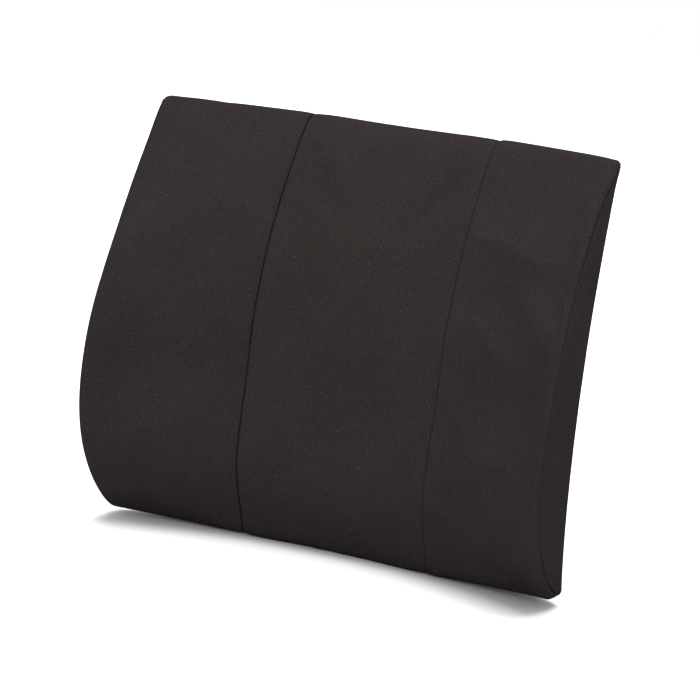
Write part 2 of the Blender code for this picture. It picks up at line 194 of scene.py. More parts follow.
# Soft waves that sitting has left in the front, in millimetres and degrees: middle (x, z), half length and
# half width, lean, and depth (minus where the wave stands proud)
WAVES = (
    ((0, 48), (90, 27), 0, -9.5),
    ((0, 125), (85, 34), 0, 8.4),
    ((-15, 228), (80, 34), 0, -2.6),
    ((-95, 302), (70, 26), 0, 2.4),
    ((-148, 228), (46, 24), 50, -8.0),
    ((-140, 128), (46, 36), 0, 11.0),
    ((-128, 76), (44, 15), -12, -3.6),
    ((118, 250), (40, 26), 0, -5.0),
    ((122, 145), (44, 34), 0, 10.0),
    ((112, 92), (38, 11), 34, -3.6),
    ((-70, 60), (24, 2.4), 88, 0.6),
)
WAVES_FADE = 12 * MM


def wave_depth(x, z):
    """How far the front lies behind its plain shape. The waves fade out before the rims."""
    depth = np.zeros_like(z)
    for (middle_x, middle_z), (long, wide), lean, deep in WAVES:
        dx, dz = x - middle_x * MM, z - middle_z * MM
        along = (dx * cos(radians(lean)) + dz * sin(radians(lean))) / (long * MM)
        across = (dz * cos(radians(lean)) - dx * sin(radians(lean))) / (wide * MM)
        depth += deep * MM * np.exp(-(along**2) - across**2)
    return depth * (1 - np.exp(-(((RIM_SEAM_X - abs(x)) / WAVES_FADE) ** 2)))


# The outline's polygon: its corners' shares of the height, up the front and then down the back. The corners
# are counted from the back's lower one.
RISING = (0.04, 0.11, 0.2, 0.3, 0.4, 0.5, 0.6, 0.7, 0.79, 0.87, 0.94)
FALLING = (1 - 2 * BACK_SEAM_SHARE, 0.82, 0.66, 0.5, 0.34, 0.18, 2 * BACK_SEAM_SHARE)
BOTTOM_BACK, BOTTOM_FRONT, TOP_FRONT = 0, 3, 4 + len(RISING)
TOP_BACK = TOP_FRONT + 1
CORNER_COUNT = TOP_BACK + len(FALLING) + 1


def outline(x, inset=0.0, steps=12):
    """The section at x as a closed line of (y, z): a polygon with every corner rounded to a parabola.

    An inset moves the line inwards. It also returns how many points each corner has.
    """
    out = np.clip((abs(x) - LIFT_FROM_X) / (HALF_WIDTH - LIFT_FROM_X), 0, 1)

    def place(y, t):
        lift = CORNER_LIFT[1 if x > 0 else -1] * out**CORNER_LIFT_POWER * max(1 - t / LIFT_SHARE, 0.0) ** 2
        return np.array((y, inset + t * (HEIGHT - 2 * inset) + lift))

    def inset_here(t):
        thickness = back_y(x, t) - WING_LINE + front_depth(x, t)
        return min(inset, MOST_INSET_SHARE * thickness)

    def front(t):
        return place(WING_LINE - front_depth(x, t) + inset_here(t), t)

    def back(t):
        return place(back_y(x, t) - inset_here(t), t)

    bottom = [back(0.0) * (1 - share) + front(0.0) * share for share in (0.3, 0.7)]
    corners = [back(0.0), *bottom, *(front(t) for t in (0.0, *RISING, 1.0))]
    corners += [back(t) for t in (1.0, *FALLING)]
    points = []
    for i, corner in enumerate(corners):
        before = (corner + corners[i - 1]) / 2
        after = (corner + corners[(i + 1) % len(corners)]) / 2
        for s in np.arange(steps) / steps:
            points.append((1 - s) ** 2 * before + 2 * s * (1 - s) * corner + s**2 * after)
    points = np.array(points)
    front_part = slice(BOTTOM_FRONT * steps, (TOP_FRONT + 1) * steps)
    points[front_part, 0] += wave_depth(x, points[front_part, 1])
    return points, steps


def lengths_along(line):
    """How far along a line each of its points is."""
    return np.concatenate([[0.0], np.cumsum(np.linalg.norm(np.diff(line, axis=0), axis=1))])


def stretch(points, shares):
    """Points at these shares of an open line's length."""
    lengths = lengths_along(points)
    wanted = np.asarray(shares) * lengths[-1]
    return np.stack([np.interp(wanted, lengths, points[:, k]) for k in range(points.shape[1])], axis=1)


def part_of_outline(x, inset, first, last, shares, at_corner=0.5):
    """Points (x, y, z) at shares of the outline's length between two of its corners."""
    points, steps = outline(x, inset)
    loop = np.concatenate([points, points])
    start = int((first + at_corner) * steps)
    end = int((last + at_corner) * steps)
    return np.insert(stretch(loop[start : end + 1], shares), 0, x, axis=1)


# ------------ panels of cloth


def unit(v):
    return v / np.maximum(np.linalg.norm(v, axis=-1, keepdims=True), 1e-12)


def fall(distance, drop, width):
    """How far cloth has sunk at a distance from a seam: all of the drop at it, none beyond the width."""
    near = np.clip(1 - distance / width, 0, 1)
    return drop * (1 - np.sqrt(1 - near**2))


def edge_round(distance, start=END_RISE, radius=EDGE_RADIUS):
    """How far a face has sunk at a distance from its rim seam, where the edge is a quarter of a circle.

    The seam is most of the way round the edge, so the front and back faces turn in further than the end.
    """
    near = np.clip(1 - (distance + start) / radius, 0, 1)
    return radius * (1 - np.sqrt(1 - near**2))


def smooth(share):
    """A share from 0 to 1, eased at both ends."""
    share = np.clip(share, 0, 1)
    return share**2 * (3 - 2 * share)


def drawn_in(points):
    """Points of the cushion after the seams at its rims have been drawn in, up its front."""
    x, y, z = np.moveaxis(points, -1, 0)
    t = z / HEIGHT
    to_seam = np.hypot(RIM_SEAM_X - np.abs(x), y - WING_LINE + front_depth(RIM_SEAM_X, t))
    risen = smooth((t - PINCH_FROM_SHARE) / (PINCH_TO_SHARE - PINCH_FROM_SHARE))
    below_top = smooth((1 - t) / PINCH_END_SHARE)
    moved = points.copy()
    moved[..., 0] -= np.sign(x) * PINCH * risen * below_top * np.exp(-((to_seam / PINCH_REACH) ** 2))
    return moved


def fine_shares(length):
    """Shares of a length for lines of points that lie close together beside both ends."""
    near = np.array(NEAR_SEAM)
    near = near[near < length / 3]
    count = max(round((length - 2 * near[-1]) / FINE_STEP), 1)
    middle = np.linspace(near[-1], length - near[-1], count + 1)
    return np.concatenate([[0.0], near[:-1], middle, length - near[-2::-1], [length]]) / length


def coarse_shares(length):
    return np.linspace(0, 1, max(round(length / COARSE_STEP), 3) + 1)


def outward(grid, toward):
    """Unit normals of a grid of points, on the side that faces away from toward."""
    normals = unit(np.cross(np.gradient(grid, axis=0), np.gradient(grid, axis=1)))
    away = np.sum(normals * (grid - toward)) > 0
    return normals if away else -normals


def rim_inward(sign, line):
    """Directions into the cushion along a rim, halfway between inwards from the end and from the cloth."""
    along = np.gradient(line, axis=0)
    in_plane = unit(np.cross(along, (1.0, 0.0, 0.0)))
    middle = np.array((line[0, 0], WING_LINE, HEIGHT / 2))
    facing = np.sign(np.sum(in_plane * (middle - line), axis=1, keepdims=True))
    return unit(in_plane * facing + np.array((-sign, 0.0, 0.0)))


CENTRE = np.array((0.0, WING_LINE + BACK_BULGE / 2, HEIGHT / 2))


class Panel:
    """One cut of the cover. Its surface is a function of shares across (u) and along (v) it, and its size is
    about how far it reaches across and along.

    Its borders are 0 at u = 0, 1 at u = 1, 2 at v = 0 and 3 at v = 1. Sinks are pairs of a border and how it
    sinks, rims are borders where the cushion's end begins, and folds are borders hemmed beside the zip.
    """

    def __init__(self, name, size, surface, flat, sinks, rims=(), folds=(), area=None):
        self.name = name
        self.size = size
        self.surface = surface
        self.flat = flat
        self.sinks = sinks
        self.rims = rims
        self.folds = folds
        self.area = area

    def shares(self, spaced):
        return spaced(self.size[0]), spaced(self.size[1])

    def points(self, u, v):
        """The grid of points at shares u and v, and its unit normals."""
        grid = drawn_in(self.surface(u, v))
        normals = outward(grid, CENTRE)

        def from_border(border):
            share = u[:, None] if border < 2 else v[None, :]
            return np.abs(share - border % 2) * self.size[border // 2]

        sunk = sum(fall(from_border(border), drop, width) for border, (drop, width) in self.sinks)
        return grid - normals * np.minimum(sunk, MOST_SUNK)[:, :, None], normals


def front_panel(name, low, high, rims, flat):
    """From the back's lower seam, under the cushion, up its front and over to the back's upper seam."""
    def surface(u, v):
        lines = []
        for x in low + (high - low) * u:
            inset = edge_round(RIM_SEAM_X - abs(x))
            lines.append(part_of_outline(x, inset, BOTTOM_BACK, TOP_BACK + 1, v, at_corner=0.0))
        return np.array(lines)

    sinks = [(border, SEAM_GROOVE) for border in range(4)]
    sinks += [(border, SEAM_PULL) for border in range(4) if border not in rims]
    return Panel(name, (1.1 * (high - low), 0.44), surface, flat, sinks, rims)


def side_panel(name, sign):
    """The end of the cushion: a patch between four stretches of its outline, raised inside its edges."""
    def surface(u, v):
        def edge(first, last, shares):
            return part_of_outline(sign * RIM_SEAM_X, EDGE_CUT, first, last, shares)

        front = edge(BOTTOM_FRONT, TOP_FRONT, v)
        back = edge(TOP_BACK, CORNER_COUNT, v)[::-1]
        lower = edge(BOTTOM_BACK, BOTTOM_FRONT, u)[::-1]
        upper = edge(TOP_FRONT, TOP_BACK, u)
        s = u[:, None, None]
        r = v[None, :, None]
        ruled = (1 - s) * front[None] + s * back[None] + (1 - r) * lower[:, None] + r * upper[:, None]
        corners = (1 - r) * ((1 - s) * front[0] + s * back[0]) + r * ((1 - s) * front[-1] + s * back[-1])
        grid = ruled - corners
        width = np.linalg.norm(front - back, axis=1)[None]
        lifted = np.ones((len(u), len(v)))
        across, along = u[:, None] * width, v[None] * HEIGHT
        for distance in (across, width - across, along, HEIGHT - along):
            lifted = lifted * (1 - edge_round(distance, EDGE_CUT) / END_RISE)
        grid[:, :, 0] = sign * (RIM_SEAM_X + END_RISE * lifted)
        return grid

    sinks = [(border, SEAM_GROOVE) for border in range(4)]
    return Panel(name, (0.075, 0.34), surface, END_PANEL_FLAT, sinks, rims=range(4), area=END_PANEL_AREA)


def back_panel(name, sign):
    """From the zip to the wing's back corner, between the back's lower and upper seams."""
    def surface(u, v):
        lines = []
        for x in SEAM_SLIT / 2 + (RIM_SEAM_X - SEAM_SLIT) * u:
            inset = edge_round(RIM_SEAM_X - x)
            lines.append(part_of_outline(sign * x, inset, TOP_BACK + 1, CORNER_COUNT, v, at_corner=0.0))
        grid = np.array(lines)
        beyond = np.maximum(ZIP_BOTTOM - grid[:, :, 2], grid[:, :, 2] - ZIP_TOP)
        open_half = WINDOW_HALF * np.sqrt(np.clip(1 - beyond / WINDOW_END_LENGTH, 0, 1))
        grid[:, :, 0] += sign * open_half * np.clip(1 - np.abs(grid[:, :, 0]) / BACK_FLAT_HALF, 0, 1)
        return grid

    sinks = [(0, FOLD_SINK)]
    sinks += [(border, SEAM_GROOVE) for border in (1, 2, 3)]
    sinks += [(border, SEAM_PULL) for border in (2, 3)]
    return Panel(name, (0.195, 0.3), surface, BACK_PANEL_FLAT, sinks, rims=(1,), folds=(0,))


def cover_panels():
    rim = RIM_SEAM_X - SEAM_SLIT
    right_of_seam = FRONT_SEAM_X + SEAM_SLIT / 2
    left_of_seam = FRONT_SEAM_X - SEAM_SLIT / 2
    wing_flat = (0.118, FRONT_FLAT_LENGTH)
    centre_flat = (0.155, FRONT_FLAT_LENGTH)
    return [
        front_panel("front_left_panel", -rim, -right_of_seam, (0,), wing_flat),
        front_panel("front_centre_panel", -left_of_seam, left_of_seam, (), centre_flat),
        front_panel("front_right_panel", right_of_seam, rim, (1,), wing_flat),
        side_panel("left_side_panel", -1),
        side_panel("right_side_panel", 1),
        back_panel("back_left_panel", -1),
        back_panel("back_right_panel", 1),
    ]


def quads(wide, high, start=0):
    """Four-cornered faces over a grid of points that are counted from start."""
    index = np.arange(wide * high).reshape(wide, high) + start
    corners = (index[:-1, :-1], index[1:, :-1], index[1:, 1:], index[:-1, 1:])
    return np.stack(corners, axis=-1).reshape(-1, 4)


def facing_out(grid, cells):
    """The cells with their corners in the order that makes them face away from the cushion's middle."""
    i, j = grid.shape[0] // 2, grid.shape[1] // 2
    facing = np.cross(grid[i + 1, j] - grid[i, j], grid[i, j + 1] - grid[i, j])
    return cells if np.dot(facing, grid[i, j] - CENTRE) > 0 else cells[:, ::-1]


def swell(panels):
    """Lets the panels swell between their seams, by cloth simulation, and returns how far their points move.

    The seams are pinned, the pressure is the foam's, and the cloth is cut a little larger than the foam.
    """
    grids = []
    points, faces, pins = [], [], []
    start = 0
    for panel in panels:
        u, v = panel.shares(coarse_shares)
        grid, _ = panel.points(u, v)
        index = np.arange(len(u) * len(v)).reshape(len(u), len(v))
        held = [at_border(index, border) for border in range(4)]
        if panel.folds:
            held.append(index[1])
        grids.append((u, v, grid, start))
        cells = quads(len(u), len(v), start)
        faces += facing_out(grid, cells).tolist()
        points += grid.reshape(-1, 3).tolist()
        pins += (np.concatenate(held) + start).tolist()
        start += index.size
    mesh = bpy.data.meshes.new("swelling_cloth")
    mesh.from_pydata(points, [], faces)
    obj = new_object("swelling_cloth", mesh)
    scene = bpy.context.scene
    obj.vertex_groups.new(name="seams").add(pins, 1.0, "REPLACE")
    cloth = obj.modifiers.new("cloth", "CLOTH")
    for setting, value in CLOTH_SETTINGS.items():
        setattr(cloth.settings, setting, value)
    cloth.settings.vertex_group_mass = "seams"
    cloth.settings.effector_weights.gravity = 0.0
    cloth.point_cache.frame_start = 1
    cloth.point_cache.frame_end = SIM_FRAMES
    for frame_number in range(1, SIM_FRAMES + 1):
        scene.frame_set(frame_number)
    settled = obj.evaluated_get(bpy.context.evaluated_depsgraph_get()).to_mesh()
    moved = np.empty(3 * start)
    settled.vertices.foreach_get("co", moved)
    moved = moved.reshape(-1, 3)
    bpy.data.objects.remove(obj, do_unlink=True)
    scene.frame_set(1)
    shifts = []
    for u, v, grid, first in grids:
        shift = moved[first : first + len(u) * len(v)].reshape(grid.shape) - grid
        reach = np.maximum(np.linalg.norm(shift, axis=2, keepdims=True), 1e-9)
        shifts.append((u, v, shift * SWELL_CAP * np.tanh(reach / SWELL_CAP) / reach))
    return shifts


def through(old, values, new):
    """Values at new places along the first axis, on a smooth curve through the old ones."""
    slopes = np.gradient(values, old, axis=0)
    k = np.clip(np.searchsorted(old, new, side="right") - 1, 0, len(old) - 2)
    width = (old[k + 1] - old[k]).reshape(-1, *[1] * (values.ndim - 1))
    s = ((new - old[k]) / (old[k + 1] - old[k])).reshape(width.shape)
    start = (1 + 2 * s) * (1 - s) ** 2 * values[k] + s * (1 - s) ** 2 * width * slopes[k]
    end = s**2 * (3 - 2 * s) * values[k + 1] + s**2 * (s - 1) * width * slopes[k + 1]
    return start + end


def turned_in(grid, inward, allowance):
    """The grid with a seam allowance before its first line, meeting its neighbour's just inside the seam."""
    aside = grid[0] - grid[4]
    aside -= inward * np.sum(aside * inward, axis=1, keepdims=True)
    edge = grid[0] + unit(aside) * SEAM_SLIT / 2
    return np.concatenate([[edge + inward * allowance, edge + inward * allowance / 3], grid])


def at_border(grid, border):
    return (grid[0], grid[-1], grid[:, 0], grid[:, -1])[border]


def border_inward(panel, grid, normals, border):
    """Directions into the cushion along one of a panel's borders."""
    line = at_border(grid, border)
    if border in panel.rims:
        return rim_inward(np.sign(line[0, 0]), line)
    return -at_border(normals, border)


def cover_piece(panel, shift, look, place_in_cloth):
    """A swollen panel with its edges turned in, as a piece of the cushion."""
    u, v = panel.shares(fine_shares)
    grid, normals = panel.points(u, v)
    old_u, old_v, moves = shift
    moves = through(old_v, through(old_u, moves, u).swapaxes(0, 1), v).swapaxes(0, 1)
    grid = grid + moves
    grid[:, :, 2] = np.maximum(grid[:, :, 2], 0.0)
    inward = [border_inward(panel, grid, normals, border) for border in range(4)]
    # The first two allowances lengthen the other two borders by two points at each end
    inward[2:] = [np.pad(line, ((2, 2), (0, 0)), mode="edge") for line in inward[2:]]
    allowance = [FOLD_ALLOWANCE if border in panel.folds else SEAM_ALLOWANCE for border in range(4)]
    for first in (0, 2):
        grid = turned_in(grid, inward[first], allowance[first])
        grid = turned_in(grid[::-1], inward[first + 1], allowance[first + 1])[::-1]
        grid = grid.swapaxes(0, 1)
    piece = grid_object(f"cover_{panel.name}", grid, look, place_in_cloth)
    thickened(piece, CLOTH)
    belongs(piece, "cushion", "cover_fabric", panel.name)


def new_object(name, data):
    obj = bpy.data.objects.new(name, data)
    bpy.context.scene.collection.objects.link(obj)
    return obj


def grid_object(name, grid, look, place_in_cloth):
    """A sheet through a grid of points, facing out, with a UV map in metres along the cloth."""
    wide, high = grid.shape[:2]
    u = np.zeros((wide, high))
    v = np.zeros((wide, high))
    u[1:] = np.cumsum(np.linalg.norm(np.diff(grid, axis=0), axis=2), axis=0)
    v[:, 1:] = np.cumsum(np.linalg.norm(np.diff(grid, axis=1), axis=2), axis=1)
    u -= u[wide // 2] - place_in_cloth
    cells = facing_out(grid, quads(wide, high))
    mesh = bpy.data.meshes.new(name)
    mesh.from_pydata(grid.reshape(-1, 3).tolist(), [], cells.tolist())
    mesh.update()
    layer = mesh.uv_layers.new(name="cloth")
    corners = np.empty(len(mesh.loops), np.int32)
    mesh.loops.foreach_get("vertex_index", corners)
    uv = np.stack([u.ravel()[corners], v.ravel()[corners]], axis=1)
    layer.data.foreach_set("uv", uv.astype(np.float32).ravel())
    mesh.shade_smooth()
    mesh.materials.append(look)
    return new_object(name, mesh)


def thickened(sheet, thickness):
    solid = sheet.modifiers.new("thickness", "SOLIDIFY")
    solid.thickness = thickness
    solid.offset = -1.0


def build_cover(panels, look):
    for k, (panel, shift) in enumerate(zip(panels, swell(panels))):
        cover_piece(panel, shift, look, CLOTH_SPACING_IN_UV * k)


# ------------ foam and board


def mesh_object(name, points, faces, look, smooth_angle=pi / 5):
    """A mesh piece, its faces turned out, smooth up to an angle."""
    mesh = bpy.data.meshes.new(name)
    mesh.from_pydata([tuple(p) for p in points], [], faces)
    bm = bmesh.new()
    bm.from_mesh(mesh)
    bmesh.ops.recalc_face_normals(bm, faces=bm.faces)
    bm.to_mesh(mesh)
    bm.free()
    mesh.shade_smooth()
    mesh.set_sharp_from_angle(angle=smooth_angle)
    mesh.materials.append(look)
    return new_object(name, mesh)


def belongs(obj, body, slot, *nodes):
    """Puts a piece on a body, in place of the CAD nodes that it stands for. Its slot is not used."""
    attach(obj, body)
    if nodes:
        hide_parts(*nodes)


def prism(base, direction, length):
    """Points and faces of a closed prism: a base outline in 3-D, extruded by a length along a direction."""
    first = [Vector(p) for p in base]
    count = len(first)
    last = [p + Vector(direction) * length for p in first]
    faces = [list(range(count))[::-1], list(range(count, 2 * count))]
    faces += [[i, (i + 1) % count, count + (i + 1) % count, count + i] for i in range(count)]
    return first + last, faces


def box_outline(low, high):
    """The corners of a box's lower face."""
    flat = ((low.x, low.y), (high.x, low.y), (high.x, high.y), (low.x, high.y))
    return [(x, y, low.z) for x, y in flat]


def box_prism(low, high):
    return prism(box_outline(low, high), (0, 0, 1), high.z - low.z)


def rounded_rectangle(half_width, half_height, radius, steps=6):
    corners = ((1, 1, 0), (-1, 1, 1), (-1, -1, 2), (1, -1, 3))
    points = []
    for sx, sy, quarter in corners:
        for k in range(steps + 1):
            angle = (quarter + k / steps) * pi / 2
            points.append((
                sx * (half_width - radius) + radius * cos(angle),
                sy * (half_height - radius) + radius * sin(angle),
            ))
    return points


def bevelled(obj, width, segments=3):
    bevel = obj.modifiers.new("edges", "BEVEL")
    bevel.width = width
    bevel.segments = segments
    bevel.limit_method = "ANGLE"
    bevel.angle_limit = radians(35)


def applied(obj):
    """Replaces the object's mesh by what its modifiers make of it."""
    graph = bpy.context.evaluated_depsgraph_get()
    mesh = bpy.data.meshes.new_from_object(obj.evaluated_get(graph))
    obj.modifiers.clear()
    obj.data = mesh


def foam_ring(x):
    """The foam's section at x, FOAM_LOOP points, sunk where it lies behind the zip."""
    points, _ = outline(x, FOAM_INSET + edge_round(FOAM_END - abs(x), radius=FOAM_EDGE_RADIUS))
    closed = np.concatenate([points, points[:1]])
    ring = stretch(closed, np.arange(FOAM_LOOP) / FOAM_LOOP)
    beside = np.clip((RECESS_HALF - abs(x)) / RECESS_SLOPE, 0, 1)
    inside_ends = np.minimum(ring[:, 1] - ZIP_BOTTOM, ZIP_TOP - ring[:, 1]) + RECESS_PAST_ZIP
    sunk = (RECESS_INSET - FOAM_INSET) * beside * np.clip(inside_ends / RECESS_SLOPE, 0, 1)
    ring[:, 0] -= np.where(ring[:, 0] > WING_LINE + BACK_BULGE / 2, sunk, 0.0)
    return drawn_in(np.insert(ring, 0, x, axis=1))


def build_foam(look):
    """The foam: a loft just inside the cover, sunk behind the zip, with a slot cut for the board."""
    stations = np.linspace(-FOAM_END, FOAM_END, round(2 * FOAM_END / FOAM_STEP) + 1)
    near_ends = FOAM_END - np.array(NEAR_SEAM[-3:])
    stations = np.unique(np.concatenate([stations, near_ends, -near_ends]).round(6))
    points = np.concatenate([foam_ring(x) for x in stations])
    faces = []
    for a in range(0, len(points) - FOAM_LOOP, FOAM_LOOP):
        b = a + FOAM_LOOP
        for i in range(FOAM_LOOP):
            j = (i + 1) % FOAM_LOOP
            faces.append([a + i, b + i, b + j, a + j])
    faces.append(list(range(FOAM_LOOP)))
    faces.append(list(range(len(points) - FOAM_LOOP, len(points)))[::-1])
    foam = mesh_object("foam", points, faces, look)

    low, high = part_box("insert_board")
    clearance = Vector((SLOT_CLEARANCE,) * 3)
    low, high = low - clearance, high + clearance
    low.z = -SLOT_THROUGH
    cutter = mesh_object("slot_cutter", *box_prism(low, high), look)
    slot = foam.modifiers.new("slot", "BOOLEAN")
    slot.operation = "DIFFERENCE"
    slot.object = cutter
    applied(foam)
    bpy.data.objects.remove(cutter, do_unlink=True)
    belongs(foam, "cushion", "foam", "foam_core")


def build_board(look):
    low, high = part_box("insert_board")
    middle = (low + high) / 2
    half = (high - low) / 2
    corners = rounded_rectangle(half.x, half.z, BOARD_CORNER)
    base = [(middle.x + x, low.y, middle.z + z) for x, z in corners]
    board = mesh_object("stiffening_board", *prism(base, (0, 1, 0), high.y - low.y), look)
    bevelled(board, BOARD_EDGE)
    belongs(board, "cushion", "hardboard", "insert_board")


# ------------ thread


def tube(path, radius, sides=6):
    """Points and faces of a round tube along a path."""
    path = np.asarray(path)
    count = len(path)
    along = unit(np.gradient(path, axis=0))
    # Any direction that no tube runs along will do to start its sides from
    helper = np.array((0.31, 0.17, 0.93))
    side = unit(np.cross(along, helper))
    over = np.cross(along, side)
    angles = np.arange(sides) / sides * 2 * pi
    ring = np.cos(angles)[None, :, None] * side[:, None] + np.sin(angles)[None, :, None] * over[:, None]
    points = (path[:, None] + radius * ring).reshape(-1, 3)
    faces = []
    for a in range(0, (count - 1) * sides, sides):
        b = a + sides
        faces += [[a + i, a + (i + 1) % sides, b + (i + 1) % sides, b + i] for i in range(sides)]
    faces.append(list(range(sides))[::-1])
    faces.append(list(range((count - 1) * sides, count * sides)))
    return points, faces


def joined(parts):
    """The points and faces of several meshes as one."""
    points, faces = [], []
    start = 0
    for part_points, part_faces in parts:
        points.append(np.array([tuple(p) for p in part_points]))
        faces += [[start + i for i in face] for face in part_faces]
        start += len(part_points)
    return np.concatenate(points), faces


def stitches(line, inward):
    """A row of stitches along a line: every one bows out of the cloth, and both its ends go into it."""
    lengths = lengths_along(line)
    count = int(lengths[-1] / STITCH_PITCH)
    pitch = lengths[-1] / count
    bow = np.array((-STITCH_SUNK, 0.0, *[STITCH_PROUD] * 3, 0.0, -STITCH_SUNK))
    along = np.array((-0.5, -0.46, -0.3, 0.0, 0.3, 0.46, 0.5)) * STITCH_LENGTH
    parts = []
    for k in range(count):
        places = (k + 0.5) * pitch + along
        point = np.stack([np.interp(places, lengths, line[:, c]) for c in range(3)], axis=1)
        into = np.stack([np.interp(places, lengths, inward[:, c]) for c in range(3)], axis=1)
        parts.append(tube(point - into * bow[:, None], THREAD_RADIUS))
    return joined(parts)


def border_line(panel, border):
    """The points along one of a panel's borders, and the directions into the cushion there."""
    u, v = panel.shares(fine_shares)
    grid, normals = panel.points(u, v)
    return at_border(grid, border), border_inward(panel, grid, normals, border)


def build_threads(panels, look):
    by_name = {panel.name: panel for panel in panels}

    def seam(node, rows):
        thread = mesh_object(f"{node}_stitches", *joined([stitches(*row) for row in rows]), look)
        belongs(thread, "cushion", "sewing_thread", node)

    centre = by_name["front_centre_panel"]
    seam("left_front_seam_thread", [border_line(centre, 0)])
    seam("right_front_seam_thread", [border_line(centre, 1)])
    for side in ("left", "right"):
        end = by_name[f"{side}_side_panel"]
        seam(f"{side}_side_seam_thread", [border_line(end, border) for border in range(4)])
    fronts = [by_name[f"front_{part}_panel"] for part in ("left", "centre", "right")]
    seam("bottom_seam_thread", [border_line(panel, 2) for panel in fronts])
    seam("top_seam_thread", [border_line(panel, 3) for panel in fronts])

    aside = WINDOW_HALF + TOPSTITCH_ASIDE
    low, high = ZIP_BOTTOM - TOPSTITCH_ASIDE, ZIP_TOP + TOPSTITCH_ASIDE
    corners = [(-aside, low), (aside, low), (aside, high), (-aside, high), (-aside, low)]
    rows = []
    for (x0, z0), (x1, z1) in zip(corners, corners[1:]):
        line = np.linspace((x0, BACK_FACE, z0), (x1, BACK_FACE, z1), 12)
        rows.append(stitches(line, np.tile((0.0, -1.0, 0.0), (len(line), 1))))
    belongs(mesh_object("zip_topstitching", *joined(rows), look), "cushion", "sewing_thread")


# ------------ zip


def build_zip(looks):
    for sign, side in ((-1, "left"), (1, "right")):
        build_tape(sign, side, looks["tape"])
        build_coil(sign, side, looks["coil"])
    for node in ("zip_stop_left", "zip_stop_right", "zip_open_end_stop"):
        build_stop(node, looks["metal"])
    build_slider(looks["metal"])
    build_pull_tab(looks["metal"])


def build_tape(sign, side, look):
    """Half of the zip's tape, which reaches nearly to its middle."""
    node = f"zip_tape_{side}"
    low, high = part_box(node)
    outer = max(-low.x, high.x)
    x = np.linspace(sign * ZIP_SLIT_HALF, sign * outer, 12)
    z = np.linspace(low.z, high.z, 90)
    grid = np.stack(np.broadcast_arrays(x[:, None], high.y, z[None]), axis=-1).copy()
    grid[:, :, 1] += TAPE_RIPPLE * np.sin(2 * pi * z / TAPE_RIPPLE_LENGTH)[None]
    tape = grid_object(node + "_cloth", grid, look, 0.0)
    thickened(tape, high.y - low.y)
    belongs(tape, "cushion", "zip_tape", node)


def build_coil(sign, side, look):
    """A row of nylon teeth: one helix, pressed oval."""
    node = f"zip_coil_{side}"
    low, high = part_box(node)
    outer = max(-low.x, high.x)
    middle = (low + high) / 2
    middle.x = sign * (outer + ZIP_SLIT_HALF) / 2
    reach = (high - low) / 2 - Vector((COIL_WIRE, COIL_WIRE, COIL_WIRE))
    reach.x = (outer - ZIP_SLIT_HALF) / 2 - COIL_WIRE
    turns = int(2 * reach.z / COIL_PITCH)
    t = np.arange(turns * TURN_POINTS + 1) / TURN_POINTS
    angle = 2 * pi * t + (0 if sign > 0 else pi)
    path = np.stack([
        middle.x - sign * reach.x * np.cos(angle),
        middle.y + reach.y * np.sin(angle),
        middle.z - reach.z + 2 * reach.z * t / turns,
    ], axis=1)
    coil = mesh_object(f"zip_teeth_{side}", *tube(path, COIL_WIRE, 5), look)
    belongs(coil, "cushion", "zip_coil", node)


def build_stop(node, look):
    """A metal stop crimped round the teeth: a rounded block."""
    stop = mesh_object(f"{node}_crimp", *box_prism(*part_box(node)), look)
    bevelled(stop, 0.35 * MM, 4)
    belongs(stop, "cushion", "zip_metal", node)


def shield(half_wide, half_long, middle_z, y):
    """A slider plate's outline: rounded at the top, a little narrower at the bottom."""
    half = [(0.3, 1.0), (0.8, 0.93), (1.0, 0.62), (1.0, 0.3), (0.86, -0.45), (0.72, -1.0)]
    shape = [(-x, z) for x, z in half[::-1]] + half
    return [(half_wide * x, y, middle_z + half_long * z) for x, z in shape]


def build_slider(look):
    """Two plates joined by a web, with side flanges, and a bail on top that the pull tab hangs from."""
    low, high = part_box("zip_slider")
    middle_z = (low.z + high.z) / 2
    half = (high.z - low.z) / 2
    wide = high.x
    top = BACK_FACE + 1.5 * MM
    plate = 1 * MM
    lower_plate_narrower = 0.8 * MM
    web_half = 0.2 * MM
    flange_outside = wide * 0.86
    flange_thick = 0.75 * MM
    flange_depth = 1 * MM

    parts = [
        prism(shield(wide, half, middle_z, top - plate), (0, 1, 0), plate),
        prism(shield(wide - lower_plate_narrower, half, middle_z, low.y), (0, 1, 0), plate),
    ]
    web_low = Vector((-web_half, low.y + plate / 2, middle_z + half * 0.2))
    web_high = Vector((web_half, top - plate / 2, middle_z + half * 0.92))
    parts.append(box_prism(web_low, web_high))
    for sign in (-1, 1):
        left, right = sorted((sign * flange_outside, sign * (flange_outside - flange_thick)))
        flange_low = Vector((left, top - plate - flange_depth, middle_z - half * 0.85))
        flange_high = Vector((right, top - plate / 2, middle_z + half * 0.2))
        parts.append(box_prism(flange_low, flange_high))
    slider = mesh_object("zip_slider_body", *joined(parts), look)
    bevelled(slider, 0.22 * MM)
    belongs(slider, "slider", "zip_metal", "zip_slider")
    build_bail(middle_z, top, high.y - top, look)


def build_bail(middle_z, top, rise, look):
    """A squarish arch on the slider, its ends sunk in the slider's plate."""
    reach = 2.7 * MM
    wall = 0.8 * MM
    sunk = 0.3 * MM
    half_wide = 1.2 * MM
    steps = 16
    arch = []
    for k in range(steps + 1):
        angle = pi * k / steps
        corner = max(abs(cos(angle)), abs(sin(angle))) ** 0.7
        arch.append((cos(angle) / corner, sin(angle) / corner))
    outer = [(reach * a, rise * b) for a, b in arch]
    inner = [((reach - wall) * a, (rise - wall) * b) for a, b in arch[::-1]]
    base = [(-half_wide, top - sunk + b * (rise + sunk) / rise, middle_z + a) for a, b in outer + inner]
    bail = mesh_object("zip_slider_bail", *prism(base, (1, 0, 0), 2 * half_wide), look)
    bevelled(bail, 0.2 * MM)
    belongs(bail, "slider", "zip_metal")


